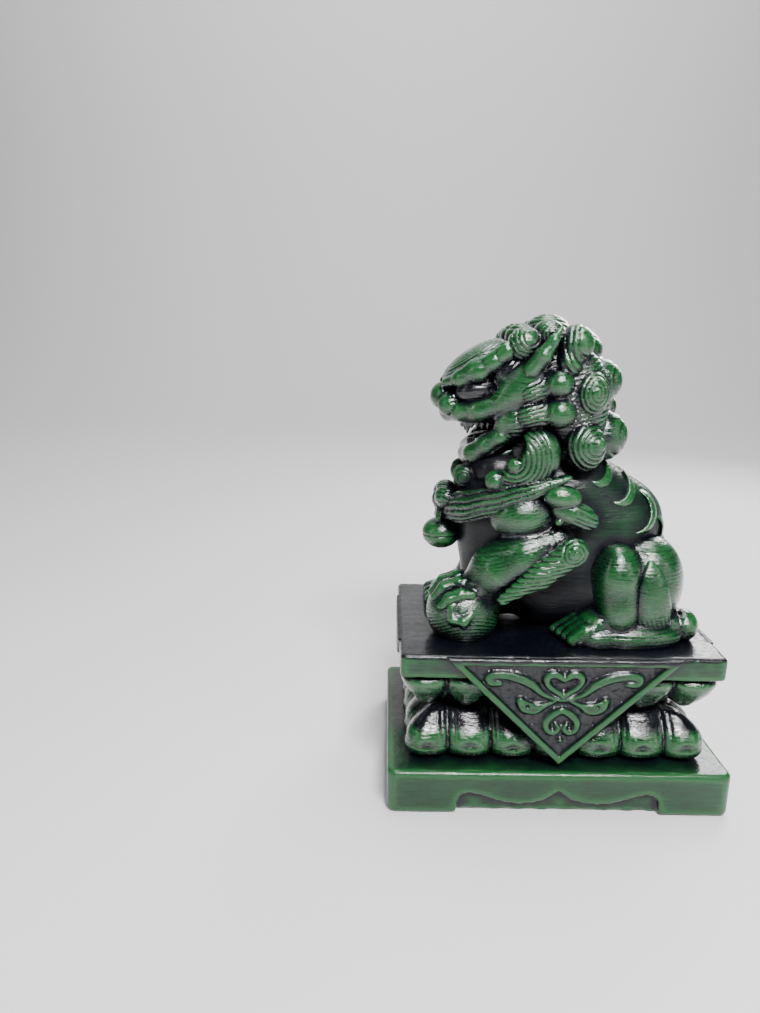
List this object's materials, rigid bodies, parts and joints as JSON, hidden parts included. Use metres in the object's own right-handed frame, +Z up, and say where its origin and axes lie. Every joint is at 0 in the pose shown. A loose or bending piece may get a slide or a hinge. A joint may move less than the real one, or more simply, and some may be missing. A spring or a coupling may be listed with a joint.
{
  "type": "foo dog statue",
  "caption": "Seated guardian lion with a forepaw on a ball, wearing a collar and bell, on a stepped pedestal with lotus petals, hanging cloth corners and a bracket-footed plinth.",
  "frame": {"origin": "centre of the plinth's underside", "axes": "+Z up through the lion's head; the lion faces -X; its left side, with the ball under its paw, faces -Y"},
  "size_m": [0.113, 0.078, 0.1609],
  "materials": {
    "green_gloss_paint": "glossy green brushed over black",
    "black_gloss_paint": "glossy blue-black"
  },
  "bodies": {
    "root": {"back_curls": "green_gloss_paint", "ball": "green_gloss_paint", "bell": "green_gloss_paint", "brow_crest": "green_gloss_paint", "chin_beard": "green_gloss_paint", "collar": "green_gloss_paint", "collar_knot": "green_gloss_paint", "crown_curls": "green_gloss_paint", "front_drape": "green_gloss_paint", "head": "green_gloss_paint", "left_beard_swirl": "green_gloss_paint", "left_drape": "green_gloss_paint", "left_ear": "green_gloss_paint", "left_elbow_tuft": "green_gloss_paint", "left_foreleg": "green_gloss_paint", "left_hind_leg": "green_gloss_paint", "left_mane": "green_gloss_paint", "left_shoulder_tuft": "green_gloss_paint", "left_thigh_tuft": "green_gloss_paint", "lotus_lower_course": "green_gloss_paint", "lotus_upper_course": "green_gloss_paint", "lower_jaw": "green_gloss_paint", "lower_teeth": "green_gloss_paint", "nose": "green_gloss_paint", "plinth": "green_gloss_paint", "rear_drape": "green_gloss_paint", "right_beard_swirl": "green_gloss_paint", "right_drape": "green_gloss_paint", "right_ear": "green_gloss_paint", "right_elbow_tuft": "green_gloss_paint", "right_foreleg": "green_gloss_paint", "right_hind_leg": "green_gloss_paint", "right_mane": "green_gloss_paint", "right_shoulder_tuft": "green_gloss_paint", "right_thigh_tuft": "green_gloss_paint", "spine_ridge": "green_gloss_paint", "tail": "green_gloss_paint", "torso": "green_gloss_paint", "upper_teeth": "green_gloss_paint", "left_eye": "black_gloss_paint", "right_eye": "black_gloss_paint", "table_slab": "black_gloss_paint", "tongue": "black_gloss_paint"}
  },
  "joints": []
}
